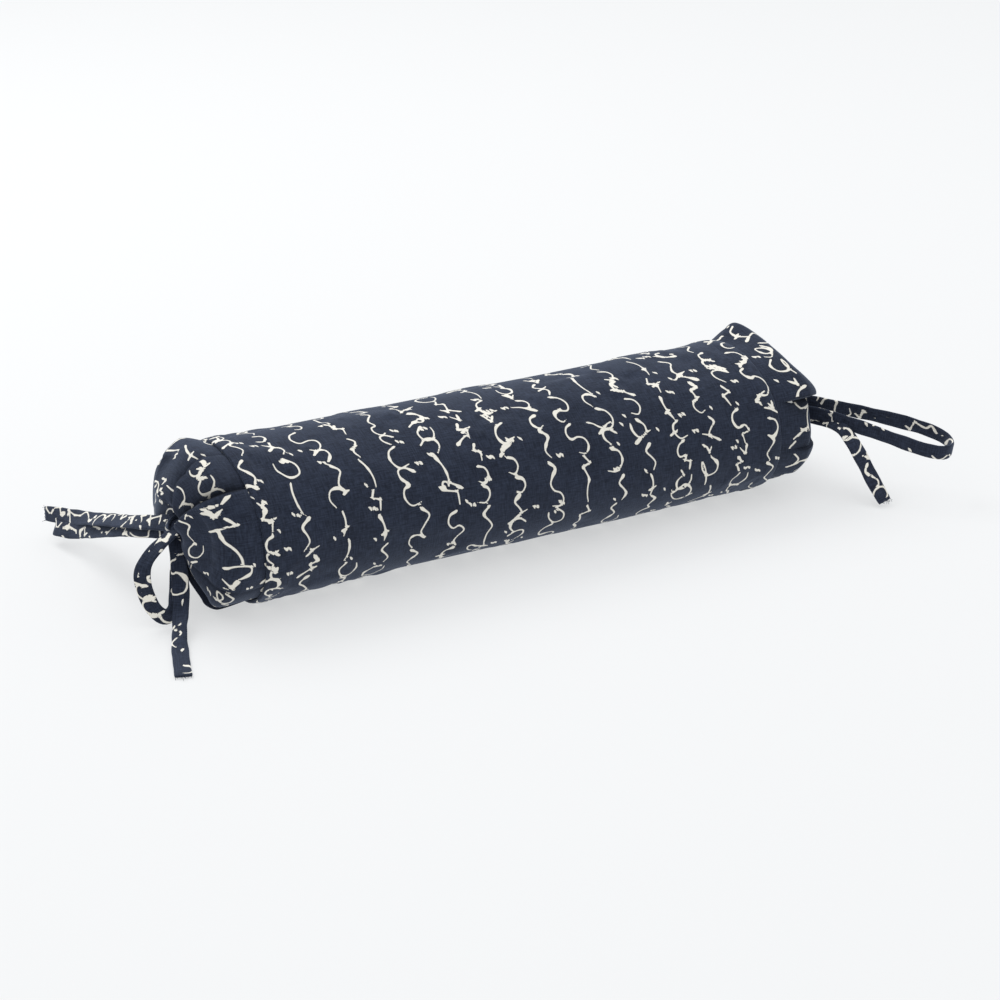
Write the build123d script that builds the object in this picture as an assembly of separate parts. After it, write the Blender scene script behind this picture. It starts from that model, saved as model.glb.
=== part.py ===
"""Brush roll case: a drawstring bag, gathered at both ends, with a sleeve over it and a brush roll inside.

Sizes are in millimetres. The case lies on its long side, +X runs along it, +Z is up, and the origin
is on the surface that it lies on, under the middle of the bag.
"""
from build123d import *
import math
import os

# ---------------------------------------------------------------- driving dimensions
case_width = 104.0          # across the sleeve, along Y
case_height = 90.0          # from the surface to the top of the sleeve
round_bottom_sink = 1.0     # how far the round section would go below the surface if it weren't pressed flat
bag_length = 384.0          # from rim to rim

sleeve_length = 338.0
sleeve_offset = -3.0        # the middle of the sleeve from the middle of the bag
sleeve_cloth = 1.0
sleeve_lining_cloth = 0.8
hem_width = 12.0
hem_proud = 0.6             # how far the folded hem stands out from the sleeve
sleeve_clearance = 0.4      # between the sleeve and the bag, so that the sleeve slides

bag_cloth = 1.0
wadding_thickness = 5.0
bag_lining_cloth = 0.8
seam_width = 8.0

mouth_depth = 12.0          # the gathered cloth at each end, along X
rim_radius = 5.0
pit_radius = 19.0           # of the hollow round the knot, at the rim
left_neck_height = 47.0     # of the middle of the gathers
right_neck_height = 45.0

string_radius = 1.5
string_end_radius = 1.2      # where the string is squeezed through its exits
string_clearance = 0.3
casing_wall = 1.2
casing_ring_radius = 8.5    # of the middle line of the drawstring's channel
casing_length = 7.5
casing_proud = 1.5          # how far the channel stands out past the rim
string_exit_angle = 45.0    # of each exit below the neck's side

knot_radius = 7.5
knot_length = 18.0
knot_rounding = 4.0
knot_clearance = 0.3

tie_diameter = 5.0          # of the plain tube that stands for the flat tie

roll_radius = 33.0
roll_end_clearance = 10.0   # from each end of the roll to the gathered cloth
roll_panel_thickness = 3.0
roll_half_turns = 4
roll_gap = 0.3              # between the layers of the roll, and under it
pocket_cloth = 1.0
flap_length = 120.0
flap_gap = 45.0             # between the pockets and the flap, along the roll
band_thickness = 1.2
band_width = 12.0

# ---------------------------------------------------------------- sizes that follow
middle_height = case_height - (case_height + round_bottom_sink) / 2
half_width = case_width / 2
half_height = (case_height + round_bottom_sink) / 2
rim_x = bag_length / 2
mouth_back_x = rim_x - mouth_depth

sleeve_inside = sleeve_cloth + sleeve_lining_cloth
bag_outside = sleeve_inside + sleeve_clearance
wadding_outside = bag_outside + bag_cloth
lining_outside = wadding_outside + wadding_thickness
bag_inside = lining_outside + bag_lining_cloth

sleeve_left_x = sleeve_offset - sleeve_length / 2
sleeve_right_x = sleeve_offset + sleeve_length / 2

casing_front_x = rim_x + casing_proud
casing_back_x = casing_front_x - casing_length
casing_half = string_radius + string_clearance + casing_wall
knot_x = casing_front_x + knot_clearance + knot_radius

roll_length = 2 * (mouth_back_x - roll_end_clearance)
pocket_length = roll_length - flap_length - flap_gap
roll_pitch = roll_panel_thickness + pocket_cloth + 2 * roll_gap
roll_height = bag_inside + 2 * roll_gap + band_thickness + roll_radius


# ---------------------------------------------------------------- the layers round the brushes
def oval(inset):
    """The section of one layer: an oval, pressed flat underneath, this far inside the sleeve's outside."""
    ellipse = Pos(0, middle_height) * Ellipse(half_width - inset, half_height - inset)
    above = Pos(0, max(inset, 0) + case_height) * Rectangle(2 * case_width, 2 * case_height)
    return ellipse & above


def layer(outside, inside, start_x, end_x):
    """A tube of cloth between two insets."""
    ring = oval(outside) - oval(inside)
    return extrude(Plane.YZ.offset(start_x) * ring, end_x - start_x)


def seam_space(start_x, end_x):
    """The strip along the back side that a layer's own seam takes."""
    length = end_x - start_x
    middle = Pos(start_x + length / 2, half_width, middle_height)
    return middle * Box(length, case_width, seam_width)


def bag_body():
    """The bag's three layers, from one gathered mouth to the other, and the seam that closes the lining."""
    ends = (-mouth_back_x, mouth_back_x)
    lining = layer(lining_outside, bag_inside, *ends)
    return {
        "bag_shell": layer(bag_outside, wadding_outside, *ends),
        "bag_wadding": layer(wadding_outside, lining_outside, *ends),
        "bag_lining": lining - seam_space(*ends),
        "bag_lining_seam": lining & seam_space(*ends),
    }


def sleeve():
    """The open-ended sleeve, its lining and seam, and a folded hem round each end."""
    ends = (sleeve_left_x + hem_width, sleeve_right_x - hem_width)
    lining = layer(sleeve_cloth, sleeve_inside, *ends)
    return {
        "sleeve_shell": layer(0, sleeve_cloth, *ends),
        "sleeve_lining": lining - seam_space(*ends),
        "sleeve_lining_seam": lining & seam_space(*ends),
        "sleeve_hem_left": layer(-hem_proud, sleeve_inside, sleeve_left_x, ends[0]),
        "sleeve_hem_right": layer(-hem_proud, sleeve_inside, ends[1], sleeve_right_x),
    }


# ---------------------------------------------------------------- the gathered ends
def along_x(shape, height):
    """Stand a shape made round Z up on the bag's right end, round the neck."""
    return Pos(0, 0, height) * Rot(0, 90, 0) * shape


def mouth(neck_height):
    """The unpadded end piece, drawn in to the neck, with a pit that the knot sits in front of."""
    block = extrude(Plane.YZ.offset(mouth_back_x) * oval(bag_outside), mouth_depth)
    front = block.faces().sort_by(Axis.X)[-1]
    block = fillet(front.edges(), rim_radius)
    pit_depth = rim_x - casing_back_x
    pit_floor = casing_ring_radius + casing_half + string_clearance
    pit = Pos(0, 0, casing_back_x + pit_depth / 2) * Cone(pit_floor, pit_radius, pit_depth)
    return block - along_x(pit, neck_height)


def string_exits(radius, neck_height):
    """The two places where the drawstring comes out of its channel towards the knot."""
    ring_x = casing_back_x + casing_length / 2
    length = casing_front_x - ring_x
    rods = []
    for side in (-1, 1):
        angle = math.radians(90 + side * (90 + string_exit_angle))
        place = Pos(0, casing_ring_radius * math.cos(angle), neck_height + casing_ring_radius * math.sin(angle))
        rods.append(place * along_x(Pos(0, 0, ring_x + length / 2) * Cylinder(radius, length), 0))
    return rods[0] + rods[1]


def casing(neck_height):
    """The channel of cloth round the neck that the drawstring runs in."""
    ring_x = casing_back_x + casing_length / 2
    outer = Cylinder(casing_ring_radius + casing_half, casing_length)
    outer = fillet(outer.edges(), casing_wall)
    hole = Cylinder(casing_ring_radius - casing_half, 2 * casing_length)
    channel = Torus(casing_ring_radius, string_radius + string_clearance)
    ring = along_x(Pos(0, 0, ring_x) * (outer - hole - channel), neck_height)
    return ring - string_exits(string_end_radius + string_clearance, neck_height)


def drawstring(neck_height):
    """The part of the tie that runs round inside the channel."""
    ring_x = casing_back_x + casing_length / 2
    ring = along_x(Pos(0, 0, ring_x) * Torus(casing_ring_radius, string_radius), neck_height)
    return ring + string_exits(string_end_radius, neck_height)


def knot(neck_height):
    """The knot of the bow, round about the Y axis that the bow lifts about."""
    barrel = fillet(Cylinder(knot_radius, knot_length).edges(), knot_rounding)
    return Pos(knot_x, 0, neck_height) * Rot(90, 0, 0) * barrel


def gathered_end(side, neck_height):
    """Every piece of one end but its ties: side is -1 for the left end and 1 for the right."""
    pieces = {
        "mouth": mouth(neck_height),
        "casing": casing(neck_height),
        "drawstring": drawstring(neck_height),
        "knot": knot(neck_height),
    }
    if side > 0:
        return pieces
    return {name: mirror(piece, about=Plane.YZ) for name, piece in pieces.items()}


# ---------------------------------------------------------------- the roll that holds the brushes
def spiral(thickness, depth, start_x, end_x):
    """A rolled sheet of half turns, this deep inside the roll's outside."""
    sheet = None
    centre = 0.0
    for turn in range(roll_half_turns):
        outer = roll_radius - depth - turn * roll_pitch / 2
        ring = Circle(outer) - Circle(outer - thickness)
        below = turn % 2 == 0
        half = Pos(0, -roll_radius if below else roll_radius) * Rectangle(4 * roll_radius, 2 * roll_radius)
        piece = Pos(centre, roll_height) * (ring & half)
        sheet = piece if sheet is None else sheet + piece
        centre += -roll_pitch / 2 if below else roll_pitch / 2
    return extrude(Plane.YZ.offset(start_x) * sheet, end_x - start_x)


def brush_roll():
    """The rolled panel, its band of pockets, the flap over the brush tips, and the band that holds it rolled."""
    start_x = -roll_length / 2
    end_x = roll_length / 2
    inner = roll_panel_thickness + roll_gap
    band = Circle(roll_radius + roll_gap + band_thickness) - Circle(roll_radius + roll_gap)
    band = Plane.YZ.offset(-band_width / 2) * (Pos(0, roll_height) * band)
    return {
        "roll_panel": spiral(roll_panel_thickness, 0, start_x, end_x),
        "roll_pockets": spiral(pocket_cloth, inner, start_x, start_x + pocket_length),
        "roll_flap": spiral(pocket_cloth, inner, end_x - flap_length, end_x),
        "roll_band": extrude(band, band_width),
    }


# ---------------------------------------------------------------- the ties
# Each route runs from inside the knot. A loop comes back to the knot.
tie_routes = {
    "left_front_tail": [
        (-203.5, -1, 43.5), (-206, -5.5, 36), (-209, -11.5, 26.5), (-211.5, -15.5, 16.5),
        (-214.5, -21, 8), (-220.5, -37, 4), (-229.5, -63.5, 2.8), (-237.5, -88, 2.8),
    ],
    "left_front_loop": [
        (-205, -6.5, 48.5), (-213, -8, 45), (-222, -8.5, 37.5), (-229, -11.5, 28), (-231.5, -15, 17),
        (-228.5, -19.5, 9), (-223.5, -27, 9.5), (-216.5, -29.5, 14), (-208.5, -23.5, 15.5),
        (-204.5, -17.5, 21), (-201.5, -14, 31), (-200.5, -7.5, 43.5),
    ],
    "left_back_loop": [
        (-205.5, 5, 44.5), (-210, 14, 41.5), (-214.5, 30, 35.5), (-218, 52, 27.5), (-221, 78, 18.5),
        (-223, 98, 11.5), (-223.5, 112, 7), (-220.5, 120.5, 5.5), (-213.5, 122, 7), (-210, 114.5, 11),
        (-210, 98, 18), (-210.5, 74, 27.5), (-208.5, 48, 36), (-206.5, 25, 43), (-202, 7, 48.5),
    ],
    "left_back_tail": [
        (-205, 1, 50.5), (-210, 12, 49.5), (-213.5, 28, 45.5), (-216, 54, 37),
        (-219, 84, 28), (-223, 112, 18), (-226.5, 134, 8),
    ],
    "right_front_loop": [
        (205, -4, 47.5), (213, -11.5, 47.5), (223.5, -22.5, 46.5), (237, -37, 44.5), (252, -53, 41.5),
        (266, -68, 37.5), (272, -80, 34), (268, -91, 31.5), (258, -94.5, 31.5), (248, -87, 33.5),
        (238, -71.5, 37), (228.5, -55.5, 40.5), (217.5, -36.5, 43.5), (209, -19, 44.5), (203, -7.5, 43.5),
    ],
    "right_front_tail": [
        (203.5, -1.5, 39.5), (209, -12, 38), (215, -27.5, 37), (220, -43, 34.5),
        (222.5, -56, 27), (223.8, -66.5, 16), (224.5, -75, 7), (225, -83, 2.8),
    ],
    "right_back_loop": [
        (205, 5, 47.5), (211, 14, 44), (214.5, 28, 35.5), (215.5, 44, 24), (215, 58, 12.5),
        (213.5, 74, 5), (213.5, 93, 3), (214, 105, 2.8), (218, 112, 2.8), (225, 113, 2.8),
        (230, 107, 2.8), (229.5, 94, 2.9), (228, 77, 4.5), (225.5, 61, 9.5), (222.5, 45, 19),
        (218.5, 28, 28.5), (212, 13, 35.5), (204.5, 5, 40),
    ],
    "right_back_tail": [
        (200, 6.5, 49), (203.5, 16.5, 49), (207, 30, 43), (208, 45, 31),
        (207.5, 59, 17), (206, 73, 6), (204, 92, 2.8), (202.5, 108, 2.8),
    ],
}


def bend_radii(points):
    """The largest arc that the runs leave room for at each corner of a route."""
    radii = []
    for before, corner, after in zip(points, points[1:], points[2:]):
        run_in = Vector(corner) - Vector(before)
        run_out = Vector(after) - Vector(corner)
        half_turn = math.radians(run_in.get_angle(run_out) / 2)
        radii.append(0.45 * min(run_in.length, run_out.length) / math.tan(half_turn))
    return radii


def tie(name, points):
    """A plain tube along a route of straight runs and tangent arcs."""
    radii = bend_radii(points)
    path = FilletPolyline(*points, radius=radii)
    start = Plane(path @ 0, z_dir=path % 0)
    tube = sweep(start * Circle(tie_diameter / 2), path=path)
    expected = math.pi * tie_diameter**2 / 4 * path.length
    print(f"{name}: length {path.length:.1f}, radii {[round(radius, 1) for radius in radii]}")
    print(f"  volume {tube.volume:.1f}, section times length {expected:.1f}, lowest {tube.bounding_box().min.Z:.2f}")
    return tube


# ---------------------------------------------------------------- build and write
def main():
    pieces = {}
    pieces.update(bag_body())
    pieces.update(sleeve())
    pieces.update(brush_roll())
    for side_name, side, neck_height in (("left", -1, left_neck_height), ("right", 1, right_neck_height)):
        for name, piece in gathered_end(side, neck_height).items():
            pieces[f"{side_name}_{name}"] = piece
    for name, points in tie_routes.items():
        pieces[name] = tie(name, points)

    os.makedirs("parts", exist_ok=True)
    for name, piece in pieces.items():
        export_step(piece, f"parts/{name}.step")
    print(f"{len(pieces)} nodes written")


main()
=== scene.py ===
# %% [markdown]
# # A brush roll case in printed cotton
#
# The object is a soft case for long brushes: a padded bag, gathered and tied at both ends, with a
# snug open-ended sleeve round it. This lesson makes its cloth. The sizes come from the frame, the
# model that the working parts were designed in, so nothing here moves or resizes a part.
#
# The first cell loads that frame, and a helper reads the outside box of any of its parts.

# %% Load the frame
import bmesh
import bpy
import math
import numpy as np
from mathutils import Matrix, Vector


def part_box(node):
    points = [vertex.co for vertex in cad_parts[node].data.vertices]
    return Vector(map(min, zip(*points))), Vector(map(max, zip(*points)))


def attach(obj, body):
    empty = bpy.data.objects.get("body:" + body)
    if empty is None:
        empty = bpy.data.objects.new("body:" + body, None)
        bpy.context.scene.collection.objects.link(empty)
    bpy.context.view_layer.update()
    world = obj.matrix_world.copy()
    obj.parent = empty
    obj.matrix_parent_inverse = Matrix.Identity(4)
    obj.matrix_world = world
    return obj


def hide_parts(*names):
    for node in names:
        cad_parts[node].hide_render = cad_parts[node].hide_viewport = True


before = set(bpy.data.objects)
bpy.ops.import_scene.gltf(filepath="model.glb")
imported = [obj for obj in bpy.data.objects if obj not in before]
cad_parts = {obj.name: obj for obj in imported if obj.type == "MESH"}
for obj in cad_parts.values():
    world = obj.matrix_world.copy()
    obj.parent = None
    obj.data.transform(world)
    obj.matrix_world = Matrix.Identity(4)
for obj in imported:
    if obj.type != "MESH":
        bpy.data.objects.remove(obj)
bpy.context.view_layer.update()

MM = 0.001

# %% [markdown]
# ## The camera, the floor and the light
#
# A product view needs little: a pale floor that runs out of sight, a big soft lamp above and behind,
# and a bright sky. The floor is a light table that glows a little, so shadows on it stay pale. The
# camera is placed by its direction and distance from a target on the case, because those are what
# someone behind a camera chooses.

# %% Place the camera
VIEW_TARGET = Vector((0.002, 0.0, 0.0212))
VIEW_AZIMUTH = math.radians(-30.5)
VIEW_HEIGHT = math.radians(22.2)
VIEW_DISTANCE = 1.42
LENS_MM = 87.1


def place_camera():
    towards = Vector((
        math.sin(VIEW_AZIMUTH) * math.cos(VIEW_HEIGHT),
        -math.cos(VIEW_AZIMUTH) * math.cos(VIEW_HEIGHT),
        math.sin(VIEW_HEIGHT),
    ))
    camera = bpy.data.objects.new("view", bpy.data.cameras.new("view"))
    camera.data.lens = LENS_MM
    camera.data.sensor_width = 36
    camera.data.clip_end = 50
    camera.location = VIEW_TARGET + VIEW_DISTANCE * towards
    camera.rotation_euler = towards.to_track_quat("Z", "Y").to_euler()
    bpy.context.collection.objects.link(camera)
    bpy.context.scene.camera = camera
    return camera


camera = place_camera()
print("camera stands at", [round(x, 3) for x in camera.location])

# %% [markdown]
# A node material is built again and again in this file, so one short helper makes the material and
# hands back its node tree, and another adds a node and wires its inputs by name.

# %% Helpers for node materials
def new_material(name, colour, roughness):
    material = bpy.data.materials.new(name)
    material.use_nodes = True
    shader = material.node_tree.nodes["Principled BSDF"]
    shader.inputs["Base Color"].default_value = (*colour, 1)
    shader.inputs["Roughness"].default_value = roughness
    material.diffuse_color = (*colour, 1)
    return material, shader


def add_node(material, kind, settings=None, **inputs):
    """Add a node, and set each named input to a number or wire it to another node's socket."""
    tree = material.node_tree
    node = tree.nodes.new(kind)
    for key, value in (settings or {}).items():
        setattr(node, key, value)
    for key, value in inputs.items():
        socket = node.inputs[int(key[1:])] if key[0] == "i" and key[1:].isdigit() else node.inputs[key]
        if isinstance(value, bpy.types.NodeSocket):
            tree.links.new(value, socket)
        else:
            socket.default_value = value
    return node


def math_node(material, operation, *values, clamp=False):
    node = add_node(material, "ShaderNodeMath", {"operation": operation, "use_clamp": clamp})
    for socket, value in zip(node.inputs, values):
        if isinstance(value, bpy.types.NodeSocket):
            material.node_tree.links.new(value, socket)
        else:
            socket.default_value = value
    return node.outputs[0]


# %% Lay the floor and light it
def make_floor():
    size = 6.0
    mesh = bpy.data.meshes.new("floor")
    corners = [(-size, -size, 0), (size, -size, 0), (size, size, 0), (-size, size, 0)]
    mesh.from_pydata(corners, [], [(0, 1, 2, 3)])
    floor = bpy.data.objects.new("floor", mesh)
    bpy.context.collection.objects.link(floor)
    material, shader = new_material("pale lit floor", (0.30, 0.302, 0.305), 0.9)
    shader.inputs["Specular IOR Level"].default_value = 0.1
    shader.inputs["Emission Color"].default_value = (0.985, 0.995, 1.0, 1)
    shader.inputs["Emission Strength"].default_value = 0.56
    mesh.materials.append(material)


def add_light(name, location, target, size, watts, colour):
    lamp = bpy.data.lights.new(name, "AREA")
    lamp.shape = "DISK"
    lamp.size = size
    lamp.energy = watts
    lamp.color = colour
    light = bpy.data.objects.new(name, lamp)
    light.location = location
    away = Vector(location) - Vector(target)
    light.rotation_euler = away.to_track_quat("Z", "Y").to_euler()
    bpy.context.collection.objects.link(light)


def make_sky(level, overhead):
    """A sky that is dimmer at the horizon than overhead, like the inside of a light tent."""
    world = bpy.data.worlds.new("studio sky")
    world.use_nodes = True
    background = world.node_tree.nodes["Background"]
    place = add_node(world, "ShaderNodeTexCoord").outputs["Generated"]
    height = add_node(world, "ShaderNodeSeparateXYZ", Vector=place).outputs["Z"]
    strength = math_node(world, "MULTIPLY_ADD", height, overhead - level, level)
    world.node_tree.links.new(strength, background.inputs["Strength"])
    background.inputs["Color"].default_value = (0.97, 0.985, 1.0, 1)
    bpy.context.scene.world = world


make_floor()
make_sky(0.36, 1.38)
add_light("back light", (-0.35, 1.2, 1.6), (0, 0, 0), 1.3, 16, (1.0, 0.99, 0.98))
bpy.context.scene.view_settings.view_transform = "Standard"

# %% [markdown]
# ## The shape of the case
#
# The case is an oval tube that its own weight presses flat underneath. Both the bag and the sleeve
# follow one section, so the section is a function of the distance round it, in cloth millimetres:
# that keeps the print at one scale wherever it lies. The distance starts at the back, low down,
# where a sewer would hide the seam. The real tube also leans a little: the top of each ring sits
# nearer the left end than its underside, and the leaning rings carry the print with them.

# %% The section, and a place on the tube for any distance round it
sleeve_low, sleeve_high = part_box("sleeve_shell")
HALF_WIDTH = (sleeve_high[1] - sleeve_low[1]) / 2 / MM
TOP = sleeve_high[2] / MM
SINK = 1.0
HALF_HEIGHT = (TOP + SINK) / 2
MIDDLE = TOP - HALF_HEIGHT
LEAN = 3.2
SEAM_ANGLE = math.radians(-35)
RIM_X = -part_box("left_mouth")[0][0] / MM


def make_section_table(count=1440):
    """The oval's angle for each distance round it, starting at the hidden seam."""
    angles = np.linspace(SEAM_ANGLE, SEAM_ANGLE + 2 * math.pi, count)
    y = HALF_WIDTH * np.cos(angles)
    z = HALF_HEIGHT * np.sin(angles)
    steps = np.hypot(np.diff(y), np.diff(z))
    return angles, np.concatenate([[0], np.cumsum(steps)])


SECTION_ANGLES, SECTION_LENGTHS = make_section_table()
GIRTH = SECTION_LENGTHS[-1]


def section_angle(around):
    return np.interp(np.mod(around, GIRTH), SECTION_LENGTHS, SECTION_ANGLES)


def press_on_floor(z, lowest, softness=1.5):
    """Ease heights that would go below the lowest level up to it, without a sharp line."""
    over = (z - lowest) / softness
    return lowest + softness * np.logaddexp(0, over)


def tube_point(along, around, inset=0.0):
    """Points on the tube, in mm: along it, round it, and this far inside the sleeve's outside."""
    angle = section_angle(around)
    y = (HALF_WIDTH - inset) * np.cos(angle)
    z = MIDDLE + (HALF_HEIGHT - inset) * np.sin(angle)
    x = along - LEAN * np.sin(angle)
    return np.stack(np.broadcast_arrays(x, y, press_on_floor(z, inset)), axis=-1)


print("girth of the case, mm:", round(GIRTH, 1), "rim at", RIM_X)

# %% [markdown]
# ## The print
#
# The cloth is printed with loose cream brush marks that run in columns round the case. They are
# invented flourishes, hooks, waves and dots, and spell nothing. A print like this could be an
# image, but an image blurs close up and is tied to one size. Here each mark is a stroke with a
# width that swells and tapers. The strokes are stamped on a fine sheet of numbers, which holds,
# for each spot of cloth, how far it lies to one side of the nearest stroke and how wide the
# stroke is there. Every vertex of cloth looks its spot up, and the material draws ink where the
# sideways distance is less than the width. That line stays sharp between vertices.

# %% Brush marks
# The moves of the brush, in mm: the first number goes across the column and the second runs along
# it, round the case. A place written twice makes a sharp corner.
MOVES = {
    "fall": [(1.2, 4.5), (1.4, 10.0), (0.2, 15.0)],
    "kink": [(-2.2, 4.0), (-2.2, 4.0), (2.6, 5.4), (2.6, 5.4), (1.2, 11.5)],
    "crescent": [(-4.0, 2.2), (-5.4, 7.0), (-2.6, 11.4), (2.8, 10.4)],
    "arch": [(3.6, -2.6), (7.6, -2.0), (8.4, 2.0), (5.4, 6.0)],
    "petal": [(3.6, 1.6), (4.4, 5.8), (1.4, 9.4), (-1.8, 8.2)],
    "sway": [(3.4, 3.6), (0.4, 8.0), (-1.2, 11.5), (1.0, 15.5)],
    "bowl": [(-3.8, 4.6), (-2.6, 10.0), (2.6, 11.0), (5.8, 6.4), (5.8, 1.6)],
    "sweep": [(5.2, -3.4), (9.4, -5.0)],
    "tick": [(0.9, 4.2), (0.9, 4.2), (3.8, 0.6)],
}
COLUMN_PITCH = 22.0
FINE_HALF_WIDTH = 0.50
WIDEST_HALF_WIDTH = 1.4
CROSSED_SHARE = 0.3
CROSSED_WHEN_LONGER_THAN = 10
DABBED_SHARE = 0.6
print(len(MOVES), "moves of the brush")

# %% [markdown]
# A stroke is a smooth curve through its moves. A brush that is pressed down leaves more ink, so its
# width swells at a few places, and it thins out where the brush is lifted. Short touches and strokes
# that cross others break up the long ones, as they do in work done by hand.

# %% Strokes of the brush
def smooth_line(points, samples_each=6):
    """A Catmull-Rom curve through a stroke's points."""
    p = np.array(points, float)
    p = np.vstack([2 * p[0] - p[1], p, 2 * p[-1] - p[-2]])
    t = np.linspace(0, 1, samples_each, endpoint=False)[:, None]
    spans = []
    for a, b, c, d in zip(p, p[1:], p[2:], p[3:]):
        spans.append(0.5 * (2 * b + (c - a) * t + (2 * a - 5 * b + 4 * c - d) * t**2
                            + (3 * b - a - 3 * c + d) * t**3))
    return np.vstack([*spans, p[-2:-1]])


def brush_widths(rng, line, heavy):
    """Half the stroke's width along it: a fine line that swells where the brush is pressed."""
    lengths = np.concatenate([[0], np.cumsum(np.hypot(*np.diff(line, axis=0).T))])
    wide = np.full(len(line), FINE_HALF_WIDTH)
    for press in [0, *rng.uniform(0, lengths[-1], 1 + int(lengths[-1] / 16))]:
        wide += rng.uniform(0.0, heavy) * np.exp(-((lengths - press) / rng.uniform(1.0, 2.8)) ** 2)
    return np.minimum(wide, WIDEST_HALF_WIDTH) * (1 - 0.4 * (lengths / max(lengths[-1], 1)) ** 4)


def brush_phrase(rng, names):
    """A few moves run together without lifting the brush."""
    points = [(0.0, 0.0)]
    for name in names:
        flip = -1 if rng.random() < 0.45 else 1
        size = rng.uniform(0.8, 1.25)
        lean = rng.normal(0.05, 0.12)
        x0, y0 = points[-1]
        moves = MOVES[name]
        for number, (dx, dy) in enumerate(moves, 1):
            back = -0.4 * x0 * number / len(moves)
            points.append((x0 + size * flip * dx + lean * dy + back, y0 + size * dy))
    return np.array(points)


def dabs(rng, start):
    """One or two short touches of the brush, side by side."""
    touch = np.array([[0, 0], [0.6, 0.7], [1.0, 1.6]])
    slope = rng.uniform(-0.6, 1.2)
    widths = np.array([0.5, 0.85, 0.45])
    return [(start + [2.6 * k, slope * k] + touch, widths) for k in range(rng.integers(1, 3))]


def crossing(rng, middle):
    """A short stroke laid across another."""
    half = rng.uniform(1.6, 3.4)
    line = middle + np.array([[-half, 0.4 * half], [0, 0], [half, -0.5 * half]])
    return line, np.array([0.8, 0.6, 0.4])


# %% Lay the strokes out in columns
def lay_out_strokes(rng, first, last):
    """Columns of brush phrases from one place along the cloth to another, each running round it."""
    strokes = []
    names = list(MOVES)
    for column in np.arange(first + COLUMN_PITCH / 2, last, COLUMN_PITCH):
        place = -rng.uniform(0, 25)
        while place < GIRTH + 10:
            chosen = rng.choice(names, size=rng.choice((1, 1, 1, 2)), replace=False)
            phrase = brush_phrase(rng, chosen)
            middle = (phrase[:, 0].min() + phrase[:, 0].max()) / 2
            phrase += (column - middle + rng.uniform(-2.6, 2.6), place)
            line = smooth_line(phrase)
            strokes.append((line, brush_widths(rng, line, rng.uniform(0.35, 0.95))))
            if rng.random() < CROSSED_SHARE and np.ptp(phrase[:, 1]) > CROSSED_WHEN_LONGER_THAN:
                strokes.append(crossing(rng, phrase[len(phrase) // 2]))
            if rng.random() < DABBED_SHARE:
                strokes += dabs(rng, phrase[-1] + (rng.choice((-6.0, 4.0)), rng.uniform(-3.0, 0.0)))
            place = phrase[:, 1].max() + rng.uniform(1.4, 3.6)
    return strokes


# %% [markdown]
# To look a spot of cloth up quickly, every short piece of stroke is stamped once on a fine sheet,
# and only where it lies nearer than what was stamped before.

# %% The printed cloth as a sheet of numbers
class PrintedCloth:
    """Looks up, for a spot of cloth in mm, how the nearest brush stroke lies."""
    STEP = 0.25
    REACH = 2.6

    def __init__(self, seed, first, last):
        self.first = first
        rows = int((last - first) / self.STEP) + 1
        columns = int(GIRTH / self.STEP) + 1
        self.edge = np.full((rows, columns), self.REACH, np.float32)
        self.side = np.full((rows, columns), self.REACH, np.float32)
        self.half = np.full((rows, columns), 0.5, np.float32)
        strokes = lay_out_strokes(np.random.default_rng(seed), first, last)
        for line, widths in strokes:
            for start, end, wide_a, wide_b in zip(line, line[1:], widths, widths[1:]):
                self.stamp(start, end, wide_a, wide_b)
        print(len(strokes), "strokes on a sheet of", self.edge.shape)

    def stamp(self, start, end, wide_a, wide_b):
        """Put one short straight piece of stroke on the sheet, wherever it is the nearest so far."""
        low = np.minimum(start, end) - self.REACH
        high = np.maximum(start, end) + self.REACH
        i0 = max(0, int((low[0] - self.first) / self.STEP))
        i1 = min(self.edge.shape[0], int((high[0] - self.first) / self.STEP) + 2)
        j0 = max(0, int(low[1] / self.STEP))
        j1 = min(self.edge.shape[1], int(high[1] / self.STEP) + 2)
        if i0 >= i1 or j0 >= j1:
            return
        u = self.first + self.STEP * np.arange(i0, i1)[:, None] - start[0]
        v = self.STEP * np.arange(j0, j1)[None, :] - start[1]
        run = end - start
        length = max(np.hypot(*run), 1e-6)
        run = run / length
        t = np.clip(u * run[0] + v * run[1], 0, length)
        distance = np.hypot(u - t * run[0], v - t * run[1])
        lateral = np.where(u * run[1] - v * run[0] < 0, -distance, distance)
        wide = wide_a + (wide_b - wide_a) * t / length
        window = (slice(i0, i1), slice(j0, j1))
        nearer = distance - wide < self.edge[window]
        self.edge[window] = np.where(nearer, distance - wide, self.edge[window])
        self.side[window] = np.where(nearer, lateral, self.side[window])
        self.half[window] = np.where(nearer, wide, self.half[window])

    def look_up(self, along, around):
        """The edge distance, sideways distance and half width at cloth coordinates in mm."""
        i = np.clip(np.rint((along - self.first) / self.STEP).astype(int), 0, self.edge.shape[0] - 1)
        j = np.clip(np.rint(np.mod(around, GIRTH) / self.STEP).astype(int), 0, self.edge.shape[1] - 1)
        return {"ink_edge": self.edge[i, j], "ink_side": self.side[i, j], "ink_half": self.half[i, j]}


PRINT_START = -290.0
printed = PrintedCloth(seed=7, first=PRINT_START, last=-PRINT_START)
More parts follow.
